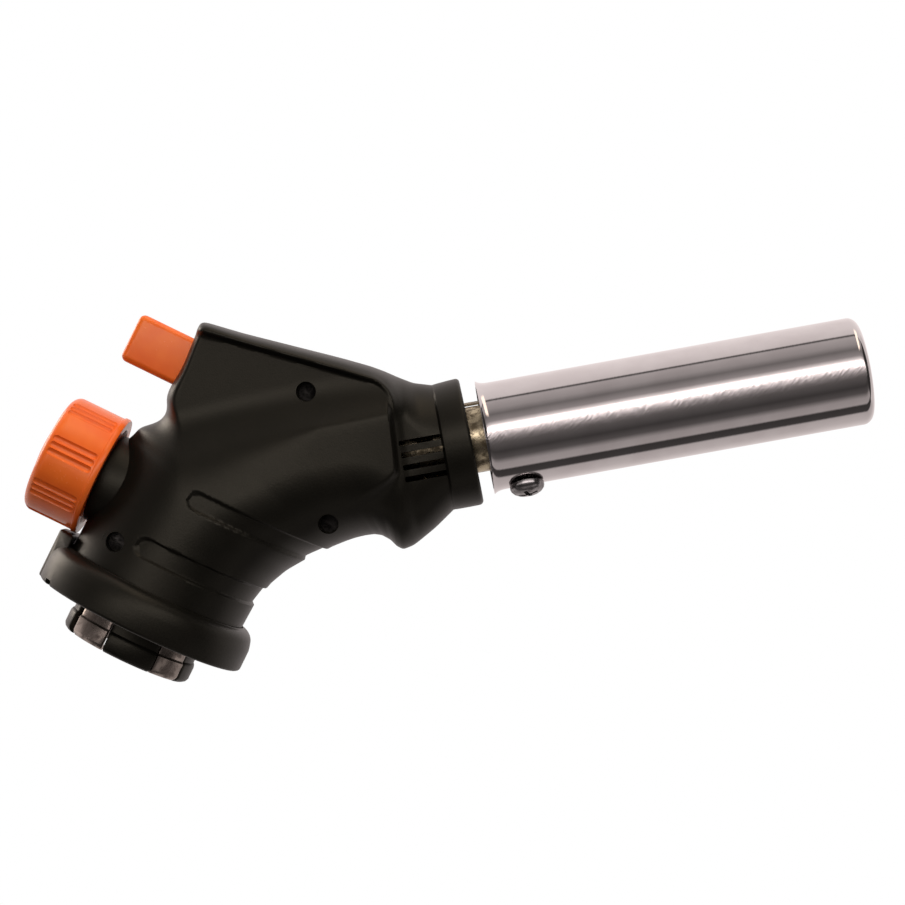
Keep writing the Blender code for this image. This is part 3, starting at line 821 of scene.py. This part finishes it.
# %% Lay the grid on the loft
COLUMNS = 130


def lofted(name, points):
    """A grid laid on the points, mirrored to the far side and closed at both ends."""
    deselect()
    count, columns = points.shape[:2]
    bpy.ops.mesh.primitive_grid_add(x_subdivisions=columns - 1, y_subdivisions=count - 1, size=2)
    piece = bpy.context.object
    piece.name = name
    flat = np.empty(len(piece.data.vertices) * 3)
    piece.data.vertices.foreach_get("co", flat)
    flat = flat.reshape(-1, 3)
    column = np.rint((flat[:, 0] + 1) / 2 * (columns - 1)).astype(int)
    row = np.rint((flat[:, 1] + 1) / 2 * (count - 1)).astype(int)
    piece.data.vertices.foreach_set("co", points[row, column].ravel())
    piece.data.update()
    mirror = piece.modifiers.new("far side", "MIRROR")
    mirror.use_axis = (False, True, False)
    mirror.merge_threshold = POINT
    bpy.ops.object.modifier_apply(modifier=mirror.name)
    bpy.ops.object.mode_set(mode="EDIT")
    bpy.ops.mesh.select_all(action="SELECT")
    bpy.ops.mesh.fill_holes(sides=0)
    bpy.ops.object.mode_set(mode="OBJECT")
    return tidy(piece, POINT)


shares = np.linspace(0, 1, COLUMNS + 1)
housing = lofted("housing", press_bands(loft_points(rows, shares)))
print("housing body:", len(housing.data.polygons), "faces, closed at both ends")

# %% [markdown]
# ## The housing: hollow, bosses and holes
#
# The hollow is lofted the same way, a wall's thickness inside the skin and with far fewer rows, and is
# taken out of the body. It starts below the foot, so that the foot stays open. Then come the boss that
# the knob turns against, the posts for the three screws, the holes for the spindle and the button, and
# the cooling slots. Booleans do what a mould's cores and pins do.

# %% Hollow out the body
WALL = 2.2
OPEN_BELOW = 10.0
EVERY_NINTH = 9
INNER_COLUMNS = 24
BORE_RADIUS = 9.6

inner_rows = rows[:-len(NECK_ROWS)][::EVERY_NINTH].copy()
inner_rows[0, 1] = inner_rows[0, 3] = OPEN_BELOW
hollow = lofted("hollow", loft_points(inner_rows, np.linspace(0, 1, INNER_COLUMNS + 1), WALL))
carve(housing, hollow)
carve(housing, place(rod("bore", BORE_RADIUS, 44.0, 60.0, 64), TUBE))
print("hollow housing:", len(housing.data.polygons), "faces")

# %% Boss, posts and holes
ACROSS = Matrix.Rotation(math.pi / 2, 4, "X")
BOSS_RADIUS = 9.4
BOSS_FACE = 19.8
POST_RADIUS = 2.9
HEAD_RADIUS = 2.0
SHANK_RADIUS = 1.5
# x, z, how far the post reaches to each side, depth at which the head sits
SCREWS = ((10.4, 64.3, 10.4, 6.0), (26.0, 42.5, 7.5, 4.6), (-10.4, 20.9, 12.4, 9.0))

boss = turned(
    "boss", [(0, BOSS_FACE), (BOSS_RADIUS - 0.6, BOSS_FACE), (BOSS_RADIUS - 0.15, BOSS_FACE - 0.2),
             (BOSS_RADIUS, BOSS_FACE - 0.7), (BOSS_RADIUS, 14.6), (0, 14.6)], 80,
)
carve(housing, place(boss, KNOB), "UNION")
for x, z, reach, seat in SCREWS:
    post = rod("post", POST_RADIUS, -reach, reach, 24)
    carve(housing, place(post, Matrix.Translation((x, 0, z)) @ ACROSS), "UNION")
carve(housing, place(rod("spindle hole", 6.3, 10.0, 30.0, 48), KNOB))
for x, z, reach, seat in SCREWS:
    here = Matrix.Translation((x, 0, z)) @ ACROSS
    carve(housing, place(rod("shank hole", SHANK_RADIUS, 1.2 - reach, 25.0, 24), here))
    carve(housing, place(rod("head hole", HEAD_RADIUS, seat, 25.0, 40), here))
button_hole = soften(block("button hole", (-30, -4.6, 53.6), (-9, 4.6, 64.2)), 0.8)
carve(housing, button_hole)
print("boss, posts and holes:", len(housing.data.polygons), "faces")

# %% Cooling slots in the neck
SLOTS = (1.8, -0.6, -3.1, -5.5)
SLOT_HALF = 0.55
for above in SLOTS:
    for low, high in ((-25, -4), (4, 25)):
        slot = block("slot", (-above - SLOT_HALF, low, 40.5), (-above + SLOT_HALF, high, 49.0))
        carve(housing, place(soften(slot, 0.25, 2), TUBE))
print(2 * len(SLOTS), "slots cut")

# %% [markdown]
# The mould parts the housing down the middle. The body is copied, and each copy keeps one side, with a
# hair's breadth between them for the parting line.

# %% Split the housing in two
PARTING = 0.07
FAR = 300.0
far_half = housing.copy()
far_half.data = housing.data.copy()
bpy.context.collection.objects.link(far_half)
carve(housing, block("keep near", (-FAR, -FAR, -FAR), (FAR, -PARTING, FAR)), "INTERSECT")
carve(far_half, block("keep far", (-FAR, PARTING, -FAR), (FAR, FAR, FAR)), "INTERSECT")
for piece, name, node in (
    (housing, "housing_near_shell", "housing_right"),
    (far_half, "housing_far_shell", "housing_left"),
):
    piece.name = name
    fit(smooth(tidy(piece, POINT / 2), 38), node)

# %% [markdown]
# ## The base: collar, claws and bayonet plate
#
# The collar sits under the housing with a rounded shoulder and a locking tab at the back. Below it,
# four plastic hooks and four bent steel ones stand in a ring and grip the cartridge's collar. All of
# it is round, so profiles are turned and claws are swept.

# %% Collar with its locking tab
TAB_TAPER = 0.40
collar_line = [(19.3, 15.35)] + arc((19.3, 12.4), 2.8, 86, 14, 8)
collar_line += [(22.28, 12.1), (22.31, 11.9), (22.4, 11.5), (22.4, 7.7)]
collar_line += arc((21.7, 7.7), 0.7, 0, -90, 4) + [(14.5, 7.0), (14.2, 7.3), (14.2, 8.4), (19.4, 8.4)]
collar_line += [(19.4, 11.9), (15.6, 11.9), (15.6, 14.0), (19.3, 14.0)]
collar = turned("collar", collar_line, 128)
tab = block("tab", (-22.65, -7.0, 7.1), (-19.08, 7.0, 17.6))
for vertex in tab.data.vertices:
    vertex.co.y *= TAB_TAPER if vertex.co.x < -22 else 1.0
carve(collar, soften(tab, 0.6), "UNION")
for turned_by in (-60, -118):
    notch = soften(block("notch", (-1.3, -24, 5.0), (1.3, -20.9, 8.1)), 0.3, 2)
    carve(collar, place(notch, Matrix.Rotation(math.radians(turned_by), 4, "Z")))
fit(smooth(collar, 32), "base_ring")

# %% Plastic claws
CLAW_LINE = [
    (13.8, 1.1), (13.5, 0.5), (12.9, 0.1), (12.2, 0.0), (11.9, 0.3), (11.9, 9.6), (13.35, 9.6),
    (13.35, 4.5), (13.6, 4.2), (13.72, 3.95), (13.8, 3.6),
]
crown = turned("crown", [(19.0, 11.5), (19.0, 8.8), (6.2, 8.8), (6.2, 11.5)], 96)
for middle_angle, width in ((7.5, 45), (91, 58), (187.5, 45), (271, 58)):
    carve(crown, soften(swept("claw", CLAW_LINE, middle_angle, width), 0.22, 2, 50), "UNION")
fit(smooth(crown, 32), "claw_ring")

# %% Steel claws
BENT_LINE = [
    (13.45, 7.9), (13.45, 4.55), (13.55, 4.3), (13.75, 4.05), (13.75, 1.2), (13.5, 0.6),
    (12.9, 0.15), (12.2, 0.1), (11.9, 0.3), (11.9, 0.9), (12.5, 1.4), (12.5, 7.3), (10.5, 7.3),
    (10.5, 8.5), (12.9, 8.5),
]
plate = turned("plate", [(11.4, 8.5), (11.4, 7.3), (5.3, 7.3), (5.3, 8.5)], 96)
for middle_angle, width in ((-34.5, 35), (46, 30), (145.5, 35), (226, 30)):
    carve(plate, soften(swept("hook", BENT_LINE, middle_angle, width), 0.15, 2, 50), "UNION")
fit(smooth(plate, 32), "bayonet_plate")

# %% [markdown]
# ## The knob
#
# The knob is a hollow cup with a rounded front edge and a thin rim at the back. Eight groups of three
# fine grooves give the fingers a hold. The cup is turned, one groove cutter is modelled with rounded
# ends, and its copies cut the grooves. A domed cap closes the front.

# %% Knob
KNOB_RADIUS = 12.5
KNOB_REAR = 19.6
knob_line = [(8.3, 31.95), (9.6, 31.8)] + arc((10.4, 29.9), 2.1, 78, 6, 8)
knob_line += [(KNOB_RADIUS, 29.6), (KNOB_RADIUS, 21.0), (12.55, 20.85), (12.75, 20.75), (12.8, 20.6)]
knob_line += [(12.8, 19.9), (12.6, KNOB_REAR), (10.6, KNOB_REAR), (10.4, 19.9), (10.4, 28.4)]
knob_line += [(5.0, 28.4), (5.0, 20.2), (2.3, 20.2), (2.3, 30.2), (8.3, 30.2)]
knob = turned("fluted_knob", knob_line, 160)
print("knob blank:", len(knob.data.polygons), "faces")

# %% Grooves of the knob
GROOVE = 0.85
GROOVE_OUT = 0.40
GROOVE_TURNS = [45 * group + 10 + step for group in range(8) for step in (-6.6, 0.0, 6.6)]
groove_line = [(0, 31.3)] + arc((0.0, 30.4), GROOVE, 80, 0, 5) + [(GROOVE, 21.9)]
groove_line += arc((0.0, 21.9), GROOVE, 0, -80, 5) + [(0, 21.0)]
cutter = place(turned("groove", groove_line, 28), Matrix.Translation((KNOB_RADIUS + GROOVE_OUT, 0, 0)))
for degrees in GROOVE_TURNS:
    groove = cutter.copy()
    groove.data = cutter.data.copy()
    bpy.context.collection.objects.link(groove)
    carve(knob, place(groove, Matrix.Rotation(math.radians(degrees), 4, "Z")))
bpy.data.objects.remove(cutter)
print(len(GROOVE_TURNS), "grooves")
fit(smooth(place(knob, KNOB), 40), "knob")

# %% Domed cap of the knob
cap_line = [(0, 33.2)] + [(r, 33.2 - 1.15 * (r / 8.1) ** 2.6) for r in (1.5, 3.0, 4.5, 5.8, 6.8, 7.5, 7.9)]
cap_line += [(8.1, 31.9), (8.1, 31.75), (0, 31.75)]
fit(smooth(place(turned("knob_dome", cap_line, 96), KNOB), 40), "knob_cap")

# %% [markdown]
# ## The igniter button
#
# The button is a rounded block on a flange that keeps it in the housing. A cube is stretched to size,
# its edges are bevelled, and the flange is joined on from behind.

# %% Button
button = soften(block("push_button", (-26.9, -4.3, 53.7), (-9.6, 4.3, 64.0)), 1.3, 5)
flange = soften(block("flange", (-11.9, -6.2, 52.9), (-10.4, 6.2, 64.9)), 0.2, 2)
carve(button, flange, "UNION")
carve(button, block("plunger socket", (-14.0, -2.3, 55.3), (-5.0, 2.3, 59.9)))
fit(smooth(button, 35), "igniter_button")

# %% [markdown]
# ## The burner
#
# The flame tube is one drawn shell: its front edge is curled in, and its back edge flares a little
# where it was cut. It is turned with a real wall, so the inside of the tube shows too. The brass mixing
# tube inside it has air holes near the jet.

# %% Flame tube
TUBE_REAR = 57.7
TUBE_FRONT = 136.2
TUBE_WALL = 0.6
CURL = 2.0
CURL_CENTRE = (TUBE_RADIUS - CURL, TUBE_FRONT - CURL)
outer = arc(CURL_CENTRE, CURL, 100, 0, 12)
outer += [(TUBE_RADIUS, along) for along in (128.0, 110.0, 90.0, 72.0, 63.5)]
outer += [(11.01, 60.2), (11.04, 59.6), (11.1, 59.1), (11.2, 58.65), (11.33, 58.3), (11.48, 58.02)]
outer += [(11.58, 57.88), (11.62, 57.8), (11.6, 57.73), (11.5, TUBE_REAR)]
inner = [(11.35, TUBE_REAR), (11.0, 58.3), (10.7, 59.1), (10.5, 60.5), (10.4, 62.5), (10.4, 128.0)]
inner += arc(CURL_CENTRE, CURL - TUBE_WALL, 0, 100, 8)
flame_tube = turned("chromed_flame_tube", outer + inner, 144)
print("flame tube blank:", len(flame_tube.data.polygons), "faces")

# %% Hole for the tube's screw
TUBE_SCREW_AT = 64.4
SCREW_TURN = math.radians(18.0)
SCREW_PLACE = Matrix.Translation((0, 0, TUBE_SCREW_AT)) @ Matrix.Rotation(-SCREW_TURN, 4, "Z")
SCREW_PLACE = SCREW_PLACE @ Matrix.Rotation(math.pi / 2, 4, "Y")
carve(flame_tube, place(rod("screw hole", 1.7, 3.0, 20.0), SCREW_PLACE))
fit(smooth(place(flame_tube, TUBE), 32), "flame_tube")

# %% [markdown]
# One screw with a pan head and a cross slot goes through the tube's wall into the hub inside. Head,
# neck and shank are one turned profile, and two slits cut the cross.

# %% Screw under the tube
CROSS_TURN = 0.35
head_line = [(0, 13.5), (1.1, 13.46), (2.2, 13.25), (2.9, 12.85), (3.35, 12.35), (3.5, 11.9), (3.5, 11.3)]
head_line += [(3.35, 11.2), (1.4, 11.2), (1.4, 7.4), (0, 7.4)]
screw = turned("pan_head_screw", head_line, 64)
for turn in (CROSS_TURN, CROSS_TURN + math.pi / 2):
    slit = soften(block("slit", (-2.0, -0.42, 12.2), (2.0, 0.42, 15)), 0.12, 2)
    carve(screw, place(slit, Matrix.Rotation(turn, 4, "Z")))
fit(smooth(place(screw, TUBE @ SCREW_PLACE), 32), "tube_screw")

# %% Mixing tube
AIR_HOLES_AT = 45.6
AIR_HOLE_RADIUS = 1.9
AIR_HOLE_TURN = math.radians(20)
mixer_line = [(6.55, 72.0), (6.55, 60.6), (6.78, 60.3), (6.78, 35.0), (6.6, 34.7), (6.3, 34.5)]
mixer_line += [(3.7, 34.5), (3.7, 41.2), (5.4, 43.0), (5.4, 72.0)]
mixer = turned("brass_mixing_tube", mixer_line, 96)
for turn in (-AIR_HOLE_TURN, math.pi / 2 - AIR_HOLE_TURN):
    here = Matrix.Translation((0, 0, AIR_HOLES_AT)) @ Matrix.Rotation(turn, 4, "Z") @ ACROSS
    carve(mixer, place(rod("air hole", AIR_HOLE_RADIUS, -20, 20), here))
fit(smooth(place(mixer, TUBE), 32), "mixing_tube")

# %% [markdown]
# The other solids of the frame are already the right shape. They keep their meshes as they are, and only
# their finishes are new.

# %% Solids that stay
print("solids still shown:", sum(not solid.hide_render for solid in frame["nodes"].values()))

# %% [markdown]
# ## The room
#
# Chrome shows the room rather than itself, so the room is drawn as the torch sees it: a white tent
# with a bright strip window above the viewer and dark gaps beside it. Its colour depends on one angle,
# measured round the flame tube: 0 at the viewer, 90 above the tube, -90 below it. The tube shows it
# squeezed: its surface at 20 degrees reflects what stands at 40, so a narrow gap is a thin dark line.

# %% Directions in the room
world = bpy.data.worlds.new("studio tent")
bpy.context.scene.world = world
world.use_nodes = True
tent = Paint(world.node_tree)
direction = tent.node("ShaderNodeTexCoord").outputs["Generated"]
up = tent.dot(direction, ABOVE)
near = tent.dot(direction, NEAR)
ahead = tent.dot(direction, ALONG)
turn = up.math("ARCTAN2", near) / (2 * math.pi) + 0.5
print("directions in the room: above, near and ahead of the tube")

# %% The tent round the tube
TENT_POWER = 5.0
PINK = (1.0, 0.90, 0.885)
WARM = (1.0, 0.82, 0.69)


def light(value, tint):
    """A tone of the tent, before the tent's power."""
    return tuple(value * t / TENT_POWER for t in tint)


STOPS = [
    (-180, 0.85), (-128, 0.52), (-103, 0.44), (-98, 0.05), (-80, 0.04), (-76, 0.36), (-62, 0.32),
    (-50, 0.09), (-35, 0.045), (-23, 0.08), (-11, 0.12), (-2, 0.30), (7, 0.70), (12, 2.5), (19, 2.5),
    (25, 0.80), (32, 0.30), (47, 0.16), (60, 0.32), (79, 0.42), (82, 0.07), (84, 0.07), (87, 0.64),
    (110, 0.74), (180, 0.95),
]
ramp = tent.node(
    "ShaderNodeValToRGB",
    {"stops": [((angle + 180) / 360, light(value, PINK)) for angle, value in STOPS]},
    {"Fac": turn},
)
print(len(STOPS), "stops round the tent")

# %% [markdown]
# The tent isn't the same from end to end. A dark wall behind the torch keeps the black plastic black,
# and a wall at the far end draws the dark line where the tube's mouth curls in. A small warm skylight
# between them lies where no straight part of the tube can show it to the viewer, but the edges of the
# plastic can, as a brown sheen. The viewer sees plain white.

# %% Walls and skylight
DARK = light(0.03, PINK)
end_wall = tent.mix(near.step(-0.06, 0.02), light(0.62, PINK), DARK)
left_wall = (ahead * -1.0).step(0.30, 0.60) * near.step(-0.20, 0.15) * 0.7
skylight = ahead.step(0.27, 0.34) * (1.0 - ahead.step(0.50, 0.57))
skylight = skylight * up.step(0.62, 0.75) * near.step(-0.30, -0.10)
walls = tent.mix(left_wall, ramp.outputs["Color"], DARK)
walls = tent.mix(skylight, walls, light(1.6, WARM))
walls = tent.mix(ahead.step(0.72, 0.80), walls, end_wall)
sky = tent.node("ShaderNodeBackground", None, {"Color": walls, "Strength": TENT_POWER})
plain = tent.node("ShaderNodeBackground", None, {"Color": (1, 1, 1, 1), "Strength": 1.0})
seen = tent.node("ShaderNodeLightPath").outputs["Is Camera Ray"]
both = tent.node("ShaderNodeMixShader", None, {0: seen, 1: sky.outputs[0], 2: plain.outputs[0]})
tent.tree.links.new(both.outputs[0], tent.tree.nodes["World Output"].inputs["Surface"])
print("tent:", len(tent.tree.nodes), "nodes")

# %% [markdown]
# The torch floats above a pale paper floor. The paper isn't mirrored in the chrome and sends no light
# up into the black plastic, which would turn grey.

# %% Floor
FLOOR_BELOW = 0.19
deselect()
bpy.ops.mesh.primitive_circle_add(
    vertices=128, radius=0.42, fill_type="NGON", location=(0.04, 0, -FLOOR_BELOW),
)
floor = bpy.context.object
floor.name = "floor"
paper = Finish("white paper", Base_Color=(0.9, 0.9, 0.9, 1.0), Roughness=0.8)
fibres = paper.noise(paper.place(), 300.0, 3.0)
paper.feed("Base Color", paper.mix(fibres, (0.88, 0.88, 0.88), (0.92, 0.92, 0.92)))
floor.data.materials.append(paper.material)
floor.visible_glossy = False
floor.visible_diffuse = False
print("floor", floor.dimensions[0], "m across")

# %% [markdown]
# Three lamps add to the tent: a large one overhead for the orange plastic, and a warm one behind each
# end of the torch. Only the left one is mirrored: it gives the black plastic a brown rim at its left
# edge, and no part of the chrome shows it to the viewer.

# %% Lamps
LAMPS_POINT_AT = Vector((0.02, 0, 0.05))
# place, power in watts, size, colour, whether it is mirrored
LAMPS = {
    "overhead lamp": ((-0.20, -0.30, 0.60), 2.5, 0.35, (1.0, 0.94, 0.86), False),
    "left lamp": ((-0.45, 0.32, 0.08), 0.8, 0.30, (1.0, 0.88, 0.76), True),
    "right lamp": ((0.52, 0.35, 0.05), 0.8, 0.30, (1.0, 0.88, 0.76), False),
}
for name, (spot, power, size, colour, mirrored) in LAMPS.items():
    lamp_data = bpy.data.lights.new(name, "AREA")
    lamp_data.shape = "DISK"
    lamp_data.size = size
    lamp_data.energy = power
    lamp_data.color = colour
    lamp = bpy.data.objects.new(name, lamp_data)
    bpy.context.collection.objects.link(lamp)
    lamp.location = spot
    lamp.rotation_mode = "QUATERNION"
    lamp.rotation_quaternion = (lamp.location - LAMPS_POINT_AT).to_track_quat("Z", "Y")
    lamp.visible_camera = False
    lamp.visible_glossy = mirrored
print(len(LAMPS), "lamps")

# %% [markdown]
# ## The camera
#
# The torch is seen from its side, square to the flame tube, with the camera rolled so that the tube
# rises only gently across the picture.

# %% Camera
ROLL = math.radians(26)
LOOKS_AT = Vector((0.042, 0, 0.0662))
DISTANCE = 0.55
lens = bpy.data.cameras.new("camera")
lens.lens = 107.4
lens.sensor_width = 36.0
lens.clip_start = 0.01
camera = bpy.data.objects.new("camera", lens)
bpy.context.collection.objects.link(camera)
camera_right = Vector((math.cos(ROLL), 0, math.sin(ROLL)))
camera_up = Vector((-math.sin(ROLL), 0, math.cos(ROLL)))
camera_turn = Matrix((camera_right, camera_up, NEAR)).transposed().to_4x4()
camera.matrix_world = Matrix.Translation(LOOKS_AT + DISTANCE * NEAR) @ camera_turn
bpy.context.scene.camera = camera
bpy.context.scene.view_settings.view_transform = "Standard"
print("camera at", tuple(round(c, 3) for c in camera.location))
